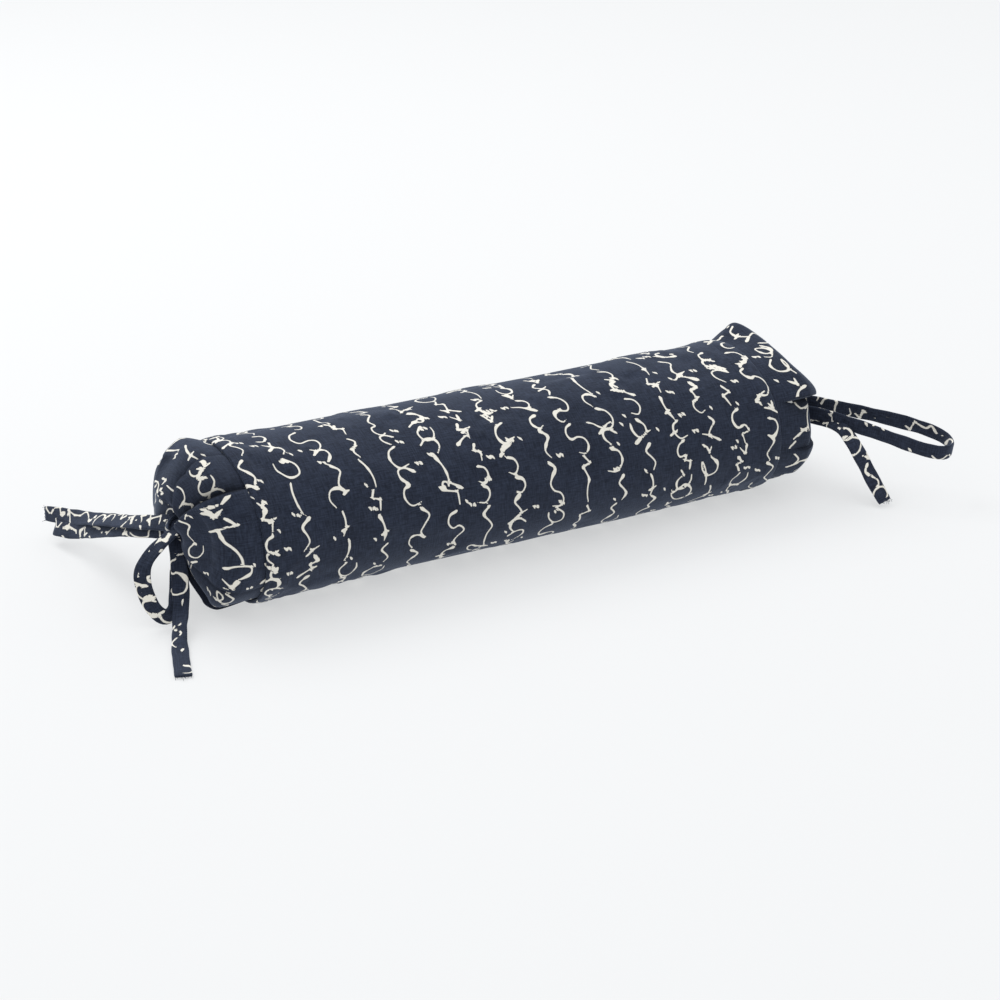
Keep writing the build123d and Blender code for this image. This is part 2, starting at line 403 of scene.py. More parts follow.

# %% [markdown]
# ## The cloth's finish, and painted shade in its folds
#
# The case is sewn from navy plain-weave cotton with slubs: thick and thin places in the thread
# that give faint streaks both ways of the weave. Two stretched noises in cloth coordinates make
# the streaks, two waves make the threads, and together they set colour and bump. The ink is the
# same cloth, paler, and a little of the weave breaks through it. In the pressed folds the colour is
# taken almost to black: that is painted shade, standing in for the dark that a deep fold holds.

# %% The printed cotton material
NAVY = (0.0105, 0.0140, 0.0250)
NAVY_LIGHT = (0.0330, 0.0430, 0.0720)
INK = (0.90, 0.865, 0.77)
# The near-black colour of the painted shade in the pressed folds.
PAINTED_CREASE_SHADE = (0.0012, 0.0016, 0.0030)
THREAD_PITCH_MM = 0.55


def attribute(material, name):
    return add_node(material, "ShaderNodeAttribute", {"attribute_name": name})


def streaks(material, cloth, scale, stretch, detail):
    """Noise drawn out along one direction of the weave."""
    mapping = add_node(material, "ShaderNodeMapping", Vector=cloth)
    mapping.inputs["Scale"].default_value = stretch
    drawn_out = mapping.outputs[0]
    noise = add_node(material, "ShaderNodeTexNoise", Vector=drawn_out, Scale=scale, Detail=detail)
    return noise.outputs["Fac"]


def weave_height(material, cloth):
    """Threads over and under: two waves at right angles."""
    parts = add_node(material, "ShaderNodeSeparateXYZ", Vector=cloth)
    turn = 2 * math.pi / THREAD_PITCH_MM
    warp = math_node(material, "SINE", math_node(material, "MULTIPLY", parts.outputs["X"], turn))
    weft = math_node(material, "SINE", math_node(material, "MULTIPLY", parts.outputs["Y"], turn))
    return math_node(material, "MULTIPLY_ADD", math_node(material, "MULTIPLY", warp, weft), 0.5, 0.5)


# %% Where the cloth and its ink lie
def mix_colours(material, share, first, second):
    """The second colour laid over the first, by a share from 0 to 1."""
    mix = add_node(material, "ShaderNodeMix", {"data_type": "RGBA"}, i0=share, i6=first, i7=second)
    return mix.outputs[2]


def cloth_place(material, on_cad):
    """Flat cloth coordinates in mm. A CAD part has none, so there the weave follows the part's own."""
    if not on_cad:
        return attribute(material, "cloth_mm").outputs["Vector"]
    place = add_node(material, "ShaderNodeTexCoord").outputs["Object"]
    scaled = add_node(material, "ShaderNodeVectorMath", {"operation": "SCALE"}, Vector=place, Scale=1 / MM)
    return scaled.outputs[0]


def ink_cover(material, slub, weave):
    """How much ink a spot holds: full inside a stroke, with an edge and a cover that the weave breaks."""
    side = math_node(material, "ABSOLUTE", attribute(material, "ink_side").outputs["Fac"])
    inside = math_node(material, "SUBTRACT", attribute(material, "ink_half").outputs["Fac"], side)
    rough_edge = math_node(material, "MULTIPLY_ADD", weave, 0.10, -0.05)
    inside = math_node(material, "ADD", inside, rough_edge)
    sharp = math_node(material, "MULTIPLY_ADD", inside, 5.0, 0.5, clamp=True)
    near = math_node(material, "LESS_THAN", attribute(material, "ink_edge").outputs["Fac"], 0.35)
    cover = math_node(material, "MULTIPLY_ADD", slub, -0.35, 1.12, clamp=True)
    return math_node(material, "MULTIPLY", math_node(material, "MULTIPLY", sharp, near), cover, clamp=True)


# %% The cotton and the wadding
def make_cotton(name, dark, light, with_print=False, on_cad=False):
    """Cotton cloth between two tones, with ink and painted shade in the pressed folds where it is printed.
    """
    material, shader = new_material(name, dark, 0.86)
    shader.inputs["Specular IOR Level"].default_value = 0.15
    shader.inputs["Sheen Weight"].default_value = 0.22
    shader.inputs["Sheen Roughness"].default_value = 0.45
    shader.inputs["Sheen Tint"].default_value = (0.62, 0.74, 1.0, 1)
    cloth = cloth_place(material, on_cad)
    along = streaks(material, cloth, 1.0, (0.16, 1.5, 1), 3)
    around = streaks(material, cloth, 1.0, (1.5, 0.16, 1), 3)
    slub = math_node(material, "MULTIPLY", math_node(material, "ADD", along, around), 0.5)
    cloudy = streaks(material, cloth, 0.045, (1, 1, 1), 2)
    tone = math_node(material, "MULTIPLY_ADD", slub, 3.4, -1.35, clamp=True)
    tone = math_node(material, "SUBTRACT", tone, 0.2)
    tone = math_node(material, "MULTIPLY_ADD", cloudy, 0.5, tone, clamp=True)
    colour = mix_colours(material, tone, (*dark, 1), (*light, 1))
    weave = weave_height(material, cloth)
    if with_print:
        colour = mix_colours(material, ink_cover(material, slub, weave), colour, (*INK, 1))
        # Painted shade: the colour is taken towards near-black where the vertices are marked as deep in a
        # pressed fold.
        painted_crease_shade = attribute(material, "painted_crease_shade").outputs["Fac"]
        colour = mix_colours(material, painted_crease_shade, colour, (*PAINTED_CREASE_SHADE, 1))
    material.node_tree.links.new(colour, shader.inputs["Base Color"])
    height = math_node(material, "MULTIPLY_ADD", slub, 0.9, math_node(material, "MULTIPLY", weave, 0.35))
    bump = add_node(material, "ShaderNodeBump", Height=height, Strength=0.35, Distance=0.0002)
    material.node_tree.links.new(bump.outputs[0], shader.inputs["Normal"])
    return material


def make_wadding(name):
    """White fibre wadding: fluffy, so it has soft lumps and no shine."""
    material, shader = new_material(name, (0.80, 0.79, 0.75), 1.0)
    shader.inputs["Specular IOR Level"].default_value = 0.05
    shader.inputs["Sheen Weight"].default_value = 0.5
    place = add_node(material, "ShaderNodeTexCoord").outputs["Object"]
    lumps = add_node(material, "ShaderNodeTexNoise", Vector=place, Scale=350.0, Detail=6.0).outputs["Fac"]
    bump = add_node(material, "ShaderNodeBump", Height=lumps, Strength=0.8, Distance=0.001)
    material.node_tree.links.new(bump.outputs[0], shader.inputs["Normal"])
    return material


# %% [markdown]
# What is inside shows only where the case is opened or cut, but each layer still gets its own cloth:
# a plain dark lining, white wadding and a natural canvas for the roll that holds the brushes.

# %% The materials of this case
printed_cotton = make_cotton("navy printed cotton", NAVY, NAVY_LIGHT, with_print=True)
thread_cotton = make_cotton("navy cut threads", NAVY, NAVY_LIGHT)
INSIDE = {
    "tie": make_cotton("navy cotton cord", NAVY, NAVY_LIGHT, on_cad=True),
    "lining": make_cotton("plain dark lining", (0.05, 0.056, 0.07), (0.12, 0.13, 0.16), on_cad=True),
    "roll": make_cotton("natural cotton canvas", (0.30, 0.26, 0.20), (0.50, 0.45, 0.36), on_cad=True),
    "wadding": make_wadding("white wadding"),
}
INSIDE_NODES = {
    "tie": ["left_drawstring", "right_drawstring", "roll_band"],
    "lining": ["bag_lining", "bag_lining_seam", "sleeve_lining", "sleeve_lining_seam"],
    "roll": ["roll_panel", "roll_pockets", "roll_flap"],
    "wadding": ["bag_wadding"],
}

# %% Finish the parts that stay as the frame has them
for kind, names in INSIDE_NODES.items():
    for name in names:
        for material_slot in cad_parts[name].material_slots:
            material_slot.material = INSIDE[kind]
    print(INSIDE[kind].name, "on", names)

# %% [markdown]
# ## From a grid of points to a piece of cloth
#
# Every cloth piece here starts as a grid: rows follow the cloth one way, columns the other. A grid
# is easy to bend with a formula, to simulate and to refine, and it keeps the cloth's own flat
# coordinates, so that print and weave follow every fold. One helper turns a grid into an object.

# %% A grid becomes a cloth object
# Added to the distance from the nearest stroke, in mm, where the cloth has to stay bare.
NO_STROKE_NEAR = 9


def grid_faces(rows, columns):
    index = np.arange(rows * columns).reshape(rows, columns)
    corners = [index[:-1, :-1], index[1:, :-1], index[1:, 1:], index[:-1, 1:]]
    return np.stack(corners, axis=-1).reshape(-1, 4)


def add_values(mesh, name, kind, values):
    layer = mesh.attributes.new(name, kind, "POINT")
    key = "vector" if kind == "FLOAT_VECTOR" else "value"
    layer.data.foreach_set(key, np.ascontiguousarray(values, np.float32).ravel())


def cloth_object(name, points, along, around, material, bare=0.0, painted_crease_shade=0.0):
    """points is rows x columns x 3 in mm; along and around are each vertex's flat place in mm. Where
    bare is 1, no print shows, and the last argument is the painted shade of a pressed fold, 0 to 1."""
    rows, columns = points.shape[:2]
    mesh = bpy.data.meshes.new(name)
    mesh.from_pydata((points.reshape(-1, 3) * MM).tolist(), [], grid_faces(rows, columns).tolist())
    mesh.shade_smooth()
    along, around = (np.broadcast_to(values, (rows, columns)).ravel() for values in (along, around))
    add_values(mesh, "cloth_mm", "FLOAT_VECTOR", np.stack([along, around, 0 * along], axis=-1))
    print_values = printed.look_up(along, around)
    bare, painted_crease_shade = (np.broadcast_to(values, (rows, columns)).ravel() for values in (bare, painted_crease_shade))
    print_values["ink_edge"] = print_values["ink_edge"] + NO_STROKE_NEAR * bare
    # Painted shade: how far each vertex's colour is darkened in a pressed fold.
    print_values["painted_crease_shade"] = painted_crease_shade
    for key, values in print_values.items():
        add_values(mesh, key, "FLOAT", values)
    mesh.materials.append(material)
    piece = bpy.data.objects.new(name, mesh)
    bpy.context.collection.objects.link(piece)
    print(name, "has", rows * columns, "vertices")
    return piece


def refine(grid, rows_by, columns_by):
    """Put extra rows and columns between those of a grid, on smooth Catmull-Rom curves."""
    for axis, factor in ((0, rows_by), (1, columns_by)):
        p = np.moveaxis(grid, axis, 0)
        p = np.concatenate([2 * p[:1] - p[1:2], p, 2 * p[-1:] - p[-2:-1]])
        a, b, c, d = p[:-3], p[1:-2], p[2:-1], p[3:]
        t = (np.arange(factor) / factor).reshape((1, factor) + (1,) * (p.ndim - 1))
        a, b, c, d = (x[:, None] for x in (a, b, c, d))
        finer = 0.5 * (2 * b + (c - a) * t + (2 * a - 5 * b + 4 * c - d) * t**2
                       + (3 * b - a - 3 * c + d) * t**3)
        finer = finer.reshape((-1,) + p.shape[1:])
        grid = np.moveaxis(np.concatenate([finer, p[-2:-1]]), 0, axis)
    return grid


# %% [markdown]
# ## The sleeve
#
# The sleeve is a tube of the printed cotton, open at both ends. Each end is turned in and stitched,
# so the edge that shows is a soft fold, a little proud, with the print running over it. The tube
# is drawn on a coarse grid and handed to the cloth simulator for a moment: a breath of pressure
# and slightly too much cloth give it the shallow slack ripples that a stuffed sleeve has. Then
# the grid is refined and the hems are turned in.

# %% Let the simulator slacken a coarse tube of cloth
def outward(points):
    """The direction away from the tube's middle line, in the plane across it."""
    away = points - np.array([0, 0, MIDDLE])
    away[..., 0] = 0
    return away / np.linalg.norm(away, axis=-1, keepdims=True)


def settle_cloth(name, points, held_rows, pressure, growth, lowest, highest, frames=20):
    """Run a grid of cloth through the simulator. Its ripples are kept, between lowest and highest mm
    off the tube, and its drift is dropped, because the padding inside holds the real cloth up."""
    rows, columns = points.shape[:2]
    mesh = bpy.data.meshes.new(name)
    wrap = columns - 1
    index = np.arange(rows * wrap).reshape(rows, wrap)
    ahead = np.roll(index, -1, axis=1)
    faces = np.stack([index[:-1], index[1:], ahead[1:], ahead[:-1]], axis=-1).reshape(-1, 4)
    mesh.from_pydata((points[:, :wrap].reshape(-1, 3) * MM).tolist(), [], faces.tolist())
    piece = bpy.data.objects.new(name, mesh)
    bpy.context.collection.objects.link(piece)
    held = piece.vertex_groups.new(name="held")
    held.add([int(i) for row in held_rows for i in index[row]], 1.0, "REPLACE")
    cloth = piece.modifiers.new("cloth", "CLOTH")
    cloth.settings.quality = 6
    cloth.settings.mass = 0.25
    cloth.settings.tension_stiffness = 25
    cloth.settings.compression_stiffness = 25
    cloth.settings.bending_stiffness = 1.5
    cloth.settings.shrink_min = -growth
    cloth.settings.use_pressure = True
    cloth.settings.uniform_pressure_force = pressure
    cloth.settings.vertex_group_mass = "held"
    cloth.settings.effector_weights.gravity = 0
    cloth.collision_settings.use_collision = False
    cloth.point_cache.frame_start = 1
    cloth.point_cache.frame_end = frames
    scene = bpy.context.scene
    for frame_number in range(1, frames + 1):
        scene.frame_set(frame_number)
    shape = piece.evaluated_get(bpy.context.evaluated_depsgraph_get())
    moved = np.empty(rows * wrap * 3, np.float32)
    shape.data.vertices.foreach_get("co", moved)
    moved = moved.reshape(rows, wrap, 3).astype(float) / MM
    moved = np.concatenate([moved, moved[:, :1]], axis=1)
    scene.frame_set(1)
    bpy.data.objects.remove(piece)
    out = outward(points)
    ripple = ((moved - points) * out).sum(-1, keepdims=True)
    print(name, "rippled by", round(float(ripple.std()), 2), "mm")
    return points + out * np.clip(ripple - np.median(ripple), lowest, highest)


# %% Draw the sleeve
SLEEVE_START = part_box("sleeve_hem_left")[0][0] / MM
SLEEVE_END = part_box("sleeve_hem_right")[1][0] / MM
COARSE_MM = 5.0
FINER = 4
SLACK = 0.2
HEM_WIDTH = 12.0
HEM_TURN = 1.0
HEM_PROUD = 0.55
GROOVE_DEPTH = 0.45
GROOVE_INSIDE = 1.8


def slack_sleeve():
    """The sleeve's tube before its hems: fine points, and each one's flat place along and around."""
    rows = int(round((SLEEVE_END - SLEEVE_START) / COARSE_MM)) + 1
    columns = int(round(GIRTH / COARSE_MM)) + 1
    along = np.linspace(SLEEVE_START, SLEEVE_END, rows)[:, None]
    around = np.linspace(0, GIRTH, columns)[None, :]
    points = tube_point(along, around, inset=0.2)
    ripples = np.sin(along / 31 + 2.1) * np.sin(2 * math.pi * 2 * around / GIRTH + along / 60)
    ripples = ripples + 0.6 * np.sin(along / 17 + 5 * around / GIRTH)
    angle = section_angle(around)
    points[..., 1] += SLACK * ripples * np.cos(angle)
    points[..., 2] += SLACK * ripples * np.sin(angle)
    points = settle_cloth("sleeve trial", points, held_rows=(0, -1), pressure=1.5, growth=0.012,
                          lowest=-0.2, highest=0.9)
    points[..., 2] = press_on_floor(points[..., 2], 0.25, softness=0.5)
    points = refine(points, FINER, FINER)
    return points, refine(along + 0 * around, FINER, FINER), refine(around + 0 * along, FINER, FINER)


def hem_profile(distance):
    """How far the hem stands out at a distance from its edge: a flat fold, then a stitched groove."""
    fold = HEM_PROUD * (1 - 1 / (1 + np.exp(-(distance - HEM_WIDTH) / 0.5)))
    groove = GROOVE_DEPTH * np.exp(-((distance - (HEM_WIDTH - GROOVE_INSIDE)) / 0.7) ** 2)
    return fold - groove


def turn_in(points, along, from_start):
    """The cloth that goes round the edge of a hem and back inside the sleeve."""
    edge, place, side = (points[0], along[0], -1) if from_start else (points[-1], along[-1], 1)
    out = outward(edge)
    rows, cloth = [], []
    for angle in np.linspace(0, math.pi, 7)[1:]:
        forward = side * HEM_TURN * math.sin(angle) * np.array([1, 0, 0])
        rows.append(edge + forward - out * HEM_TURN * (1 - math.cos(angle)))
        cloth.append(place + side * HEM_TURN * angle)
    for back in (1.5, 4, 7, 10):
        rows.append(edge - side * back * np.array([1, 0, 0]) - 2 * out * HEM_TURN)
        cloth.append(place + side * (HEM_TURN * math.pi + back))
    order = slice(None, None, -1) if from_start else slice(None)
    return np.array(rows)[order], np.array(cloth)[order]


def make_sleeve():
    """The whole sleeve as one cloth, with both hems standing proud and turned in."""
    points, along, around = slack_sleeve()
    distance = np.minimum(along - SLEEVE_START, SLEEVE_END - along)
    points = points + outward(points) * hem_profile(distance)[..., None]
    start, start_along = turn_in(points, along, from_start=True)
    end, end_along = turn_in(points, along, from_start=False)
    points = np.concatenate([start, points, end])
    along = np.concatenate([start_along, along, end_along])
    around = np.broadcast_to(around[:1], along.shape)
    return cloth_object("sleeve_cloth", points, along, around, printed_cotton)


sleeve = make_sleeve()
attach(sleeve, "sleeve")
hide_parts("sleeve_shell", "sleeve_hem_left", "sleeve_hem_right")

# %% [markdown]
# ## The gathered ends
#
# The bag is drawn as two halves that meet in the middle, under the sleeve. At each end its cloth
# comes out from under the sleeve, turns over the rim of the padding and is drawn in to the neck. So
# much cloth can't lie flat there: it stacks into a few large pleats, each lying over the next, and
# their folds curl into a dark pit behind the knot. A simulated gather takes long and falls where it
# likes, so these folds come from formulas and lie where a table puts them.
#
# Round the neck, each column of the grid keeps one direction, measured in degrees from the top
# towards the front. The helpers below read a table of folds at any direction.

# %% Helpers that read round the neck
def smooth_step(value, start, end):
    t = np.clip((value - start) / (end - start), 0, 1)
    return t * t * (3 - 2 * t)


def turned_by(direction, fold):
    """Degrees from a fold to a direction, between -180 and 180."""
    return (direction - fold + 180) % 360 - 180


def read_round(direction, entries, column, softness):
    """Read one column of a table of entries (direction, ...) between its rows, eased over softness,
    in degrees."""
    table = np.array(sorted(entries), float)
    degrees = np.arange(-720, 721)
    at = np.concatenate([table[:, 0] + 360 * turn for turn in (-2, -1, 0, 1, 2)])
    values = np.interp(degrees, at, np.tile(table[:, column], 5))
    kernel = np.exp(-(np.arange(-3 * softness, 3 * softness + 1) / softness) ** 2 / 2)
    values = np.convolve(values, kernel / kernel.sum(), mode="same")
    return np.interp(direction, degrees, values)


def sector_middle(direction, folds):
    """For each direction, how many degrees it lies past the middle between the folds on its two sides."""
    starts = np.sort([fold[0] for fold in folds])
    ahead = np.append(starts[1:], starts[0] + 360)
    relative = (direction - starts[0]) % 360 + starts[0]
    which = np.searchsorted(starts, relative, side="right") - 1
    return relative - (starts[which] + ahead[which]) / 2


# %% [markdown]
# A fold is a direction where the cloth steps up to lie over its neighbour. The pleat on top stands
# off and fades into the cloth behind it, and the one below is pressed into a groove. The vertices
# at the groove and below it are marked, and the colour there is darkened by that mark: painted shade.

# %% The pleats
PLEAT_FADES_OVER = 20.0
GROOVE_WIDTH = 2.6
GROOVE_SHARE = 0.85
BARE_BESIDE_FOLD = 1.3
DARKEST_FROM_STEP = 6


def pleat_lift(direction, share, reach, folds):
    """How far each pleat stands off its neighbour, where the cloth is hidden in a fold, and how much
    painted shade darkens its colour at the fold, from 0 to 1."""
    lift = 0.0 * direction * share
    hidden = 0.0 * direction * share
    painted_crease_shade = 0.0 * direction * share
    for place, step, *_ in folds:
        gap = turned_by(direction, place) * math.pi / 180 * reach * (0.35 + 0.65 * share) * np.sign(step)
        on_top = np.where(gap > 0, np.exp(-gap / PLEAT_FADES_OVER) * (1 - 0.25 * np.exp(-gap / 1.6)), 0)
        groove = np.where(gap <= 0, np.exp(gap / GROOVE_WIDTH), 0)
        lift = lift + abs(step) * (on_top - GROOVE_SHARE * groove)
        hidden = np.maximum(hidden, np.abs(gap) < BARE_BESIDE_FOLD)
        # Painted shade: the colour is darkened at each fold, most in the groove below it.
        below = 0.75 * np.exp(gap / 6.5) + 0.25 * np.exp(gap / 1.2)
        shade = np.where(gap > 0, np.exp(-(gap / 0.6) ** 2), below)
        painted_crease_shade = np.maximum(painted_crease_shade, min(1.0, abs(step) / DARKEST_FROM_STEP) * shade)
    return lift, hidden, painted_crease_shade


# %% [markdown]
# Along the case, the rows of the grid follow the padding: straight under the sleeve, round the rim
# and in to the neck, where the middle sinks into a pit above the knot. The rows are closer together
# where the cloth bends more.

# %% Where each row of an end lies
HEM_AT = 160.0
NECK_X = 199.0
NECK_RADIUS = 3.5
OVERLAP = 4.0
FACE_BULGE = 4.0
PIT_DIRECTION = 20
PIT_DEPTH = 9.0
UNDER_ROWS, SHOWN_ROWS, CORNER_ROWS, FACE_ROWS = 33, 26, 12, 49


def end_profile(reach, direction, out, off, rounding):
    """The rows of one half, in four stretches: under the sleeve, shown beside it, over the rim, and in
    to the neck. It gives each vertex's place along the case, its radius, its share of the way out from
    the neck, how far it faces along the case, and how strongly the pleats lift it."""
    rim_x = RIM_X + out
    under = np.linspace(-OVERLAP, HEM_AT, UNDER_ROWS + 1)[:-1, None] + 0 * out
    run = np.linspace(0, 1, SHOWN_ROWS)[:, None]
    shown = HEM_AT + (rim_x - rounding - HEM_AT) * run
    arc = np.linspace(0, 1, CORNER_ROWS + 1)[1:, None] * math.pi / 2
    corner = rim_x - rounding * (1 - np.sin(arc))
    share = (np.linspace(1, 0, FACE_ROWS + 1)[1:] ** 1.05)[:, None]
    cone = rim_x + (NECK_X - rim_x) * (1 - share) + FACE_BULGE * np.sin(math.pi * share) ** 1.2
    above = np.clip(np.cos(np.radians(direction - PIT_DIRECTION)), 0, 1)
    face = cone - PIT_DEPTH * above * (1 - smooth_step(share, 0.06, 0.42))
    x = np.concatenate([under, shown, corner, face])
    radius = np.concatenate([
        reach + 0 * under,
        reach + off * smooth_step(run, 0.15, 1.0),
        reach + off - rounding * (1 - np.cos(arc)),
        NECK_RADIUS + (reach + off - rounding - NECK_RADIUS) * share,
    ])
    on_face = np.concatenate([0 * under, 0 * shown, np.sin(arc) ** 2 + 0 * out, 1 + 0 * face])
    strength = np.concatenate([
        0 * under,
        smooth_step(run, 0.25, 1.0) + 0 * out,
        1 + 0 * corner,
        0.45 + 0.55 * smooth_step(share, 0.0, 0.5) + 0 * face,
    ])
    whole_share = np.concatenate([np.ones((len(x) - len(face), 1)), share])
    return x, radius, whole_share, on_face, strength


# %% [markdown]
# Towards the neck a fold curls to one side, and the cloth between two folds narrows at its true
# size. What doesn't fit is hidden in the fold, so the print is cut there, as it is in a real pleat,
# and not squeezed.

# %% Put an end together
BAG_INSET = 2.4
RIM_SOFTNESS = 5
FOLD_SOFTNESS = 8
SMALLEST_RADIUS = 1.5


def gathered_end(name, side, neck_height, rim, folds):
    """side is -1 for the left end and 1 for the right. rim has (direction, out, off, rounding): how
    far the rim stands out along the case and off its section, and how round it is. Folds are
    (direction, step, curl, sway): a step above 0 puts the pleat after the fold on top, curl is how
    far the fold has turned at the neck, and sway how far it swings back halfway."""
    around = np.linspace(0, GIRTH, int(GIRTH))[None, :]
    section = tube_point(0.0, around, inset=BAG_INSET)
    direction = np.degrees(np.arctan2(-section[..., 1], section[..., 2] - neck_height))
    reach = np.hypot(section[..., 1], section[..., 2] - neck_height)
    out, off, rounding = (read_round(direction, rim, k, RIM_SOFTNESS) for k in (1, 2, 3))
    curl, sway = (read_round(direction, folds, k, FOLD_SOFTNESS) for k in (2, 3))
    x, radius, share, on_face, strength = end_profile(reach, direction, out, off, rounding)
    turned = direction + curl * (1 - share) ** 2.2 - sway * 4 * share * (1 - share)

    # Besides the lift, the pleats give a mark of painted shade that darkens the colour at each fold.
    lift, hidden, painted_crease_shade = pleat_lift(direction, share, reach, folds)
    lift = lift * strength
    hidden = hidden * (strength > 0.3)
    painted_crease_shade = painted_crease_shade * strength
    x = x + lift * on_face
    radius = np.maximum(radius + 0.55 * lift * (1 - on_face), SMALLEST_RADIUS)

    lean = LEAN * np.sin(section_angle(around)) * share
    y = -radius * np.sin(np.radians(turned))
    z = neck_height + radius * np.cos(np.radians(turned))
    z = press_on_floor(z, 2.0 - 1.6 * smooth_step(x, HEM_AT + 14, HEM_AT + 24), softness=0.8)
    points = np.stack([side * x - lean, y, z], axis=-1)

    steps = np.hypot(np.diff(x.mean(1)), np.diff(radius.mean(1)))
    along = side * (np.concatenate([[0], np.cumsum(steps)]) - OVERLAP)[:, None] + 0 * around
    past = sector_middle(direction, folds) * math.pi / 180 * reach
    cloth_around = around - past * (1 - np.maximum(share, 0.2))
    if side < 0:
        points, along, cloth_around = points[::-1], along[::-1], cloth_around[::-1]
        hidden, painted_crease_shade = hidden[::-1], painted_crease_shade[::-1]
    piece = cloth_object(name, points, along, cloth_around, printed_cotton, bare=hidden, painted_crease_shade=painted_crease_shade)
    piece.data.set_sharp_from_angle(angle=math.radians(50))
    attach(piece, "bag")
    return piece


# %% [markdown]
# No two ends gather alike. The left one has a big pleat that curls over the knot from above, and the
# right one has a corner that stands up at the back. Each has its own table for the rim and for the
# folds.

# %% The rim and the folds of each end
LEFT_RIM = [
    (-120, -8.0, 0, 5), (-110, 1.0, 0, 4), (-90, 2.0, 0, 4), (-62, 1.5, 1.0, 4), (-40, -3.0, 1.0, 3.5),
    (-25, -5.0, 1.5, 4), (0, -1.0, 1.0, 5), (35, 0.5, 0.5, 9), (75, 1.0, 0, 14), (110, 5.0, 0.5, 14),
    (140, 7.5, 1.0, 7), (155, 5.0, 0.5, 5), (172, 1.0, 0, 5), (190, -2.0, 0, 5), (210, -3.0, 0, 5),
    (225, -5.5, 0, 5),
]
LEFT_FOLDS = [
    (-34, 9.5, 120, 30), (14, 2.5, 80, 12), (50, 7.0, 32, 0), (120, -2.5, 4, 0), (152, 3.0, -6, 0),
    (205, 4.0, -10, 0), (262, 3.0, 30, 10),
]
RIGHT_RIM = [
    (-60, 0, 2.0, 5), (-38, -3.0, 6.0, 4), (-22, -5.5, 10.5, 2.5), (-8, 0.5, 3.0, 4), (12, 1.0, 0, 4),
    (36, 1.0, 0, 4), (52, 4.5, 0, 4), (62, 5.5, 0.5, 3.5), (74, 0.5, 0, 5), (99, 0.5, 0, 5),
    (111, 1.0, 0, 5), (124, -1.0, 0, 6), (145, -7.0, 0, 6), (180, -3, 0, 6), (-120, 0, 0, 6),
]
RIGHT_FOLDS = [
    (-24, 3.0, -40, 0), (66, -7.0, -20, 0), (103, 3.0, -6, 0), (128, -4.0, 6, 0), (205, 3.0, 20, 0),
    (275, 4.5, -10, 0),
]
neck_left = sum(corner[2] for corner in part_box("left_knot")) / 2 / MM
neck_right = sum(corner[2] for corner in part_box("right_knot")) / 2 / MM
left_end = gathered_end("left_half_of_bag", -1, neck_left, LEFT_RIM, LEFT_FOLDS)
right_end = gathered_end("right_half_of_bag", 1, neck_right, RIGHT_RIM, RIGHT_FOLDS)
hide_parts("left_mouth", "left_casing", "bag_shell")
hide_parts("right_mouth", "right_casing")

# %% [markdown]
# ## The ties
#
# Each tie is a strip of the printed cotton folded into a flat strap and stitched along one edge.
# The strap's middle line is a smooth NURBS curve through the route that the frame's tube follows,
# but resting on the floor it lies lower, because a strap is thinner than the tube. A strap also
# has a face, so each route says which way its width points at a few places along it, and the
# strap turns evenly from one to the next.

# %% Routes of the ties, in mm
TIE_WIDTH = 9.0
TIE_THICKNESS = 2.0
TIE_ROUTES = {
    "left_front_tail": [
        (-203.5, -2, 43.5), (-205.5, -7.5, 36), (-207.5, -14.5, 26.5), (-209.5, -20, 16.5),
        (-213, -26, 8), (-220, -39.5, 3), (-229, -62, 1.3), (-236.5, -83, 1.3),
    ],
    "left_front_loop": [
        (-205, -6.5, 48.5), (-213, -8, 45), (-222.5, -8.5, 38), (-228.5, -11.5, 31), (-228.5, -15, 21),
        (-225.5, -18.5, 11), (-220.5, -22, 6), (-215.5, -22, 8.5), (-210.5, -16, 14),
        (-207, -10, 21.5), (-203.5, -6, 31), (-201, -4.5, 43.5),
    ],
    "left_back_loop": [
        (-205.5, 5, 45), (-210, 14, 42), (-214, 30, 37.5), (-217.5, 52, 30), (-221, 78, 21),
        (-224, 98, 14), (-228, 112, 11), (-229, 120.5, 9.5), (-222, 122, 11), (-216, 114.5, 13.5),
        (-210, 98, 17.5), (-210.5, 74, 26.5), (-208.5, 48, 34.5), (-206.5, 25, 42), (-202, 7, 47.5),
    ],
    "left_back_tail": [
        (-205, 1, 50.5), (-210, 12, 47.5), (-213.5, 28, 43), (-216.5, 54, 35),
        (-219.5, 84, 26), (-223, 112, 18), (-229, 134, 13.5),
    ],
    "right_front_loop": [
        (205, -4, 47.5), (213, -11.5, 47.5), (223.5, -22.5, 46.5), (237, -37, 44.5), (252, -53, 41.5),
        (266, -68, 37.5), (272, -80, 34), (268, -91, 31.5), (258, -94.5, 31.5), (248, -87, 33.5),
        (238, -71.5, 37), (228.5, -55.5, 40.5), (217.5, -36.5, 43.5), (209, -19, 44.5), (203, -7.5, 43.5),
    ],
    "right_front_tail": [
        (205, -1.5, 41), (211, -12, 40.5), (216, -27.5, 40.5), (218.5, -43, 41),
        (219, -56, 33), (219.5, -66.5, 23.5), (220.5, -75, 14), (223.5, -83, 3.5),
    ],
    "right_back_loop": [
        (205, 5, 47.5), (211, 14, 44), (214.5, 28, 35.5), (215.5, 44, 24), (215, 58, 12.5),
        (213.5, 74, 5), (213.5, 93, 3), (214, 105, 2.8), (218, 112, 2.8), (225, 113, 2.8),
        (230, 107, 2.8), (229.5, 94, 2.9), (228, 77, 4.5), (225.5, 61, 9.5), (222.5, 45, 19),
        (218.5, 28, 28.5), (212, 13, 35.5), (204.5, 5, 40),
    ],
    "right_back_tail": [
        (200, 6.5, 49), (203.5, 16.5, 49), (207, 30, 43), (208, 45, 31),
        (207.5, 59, 17), (206, 73, 6), (204, 92, 1.3), (202.5, 108, 1.3),
    ],
}
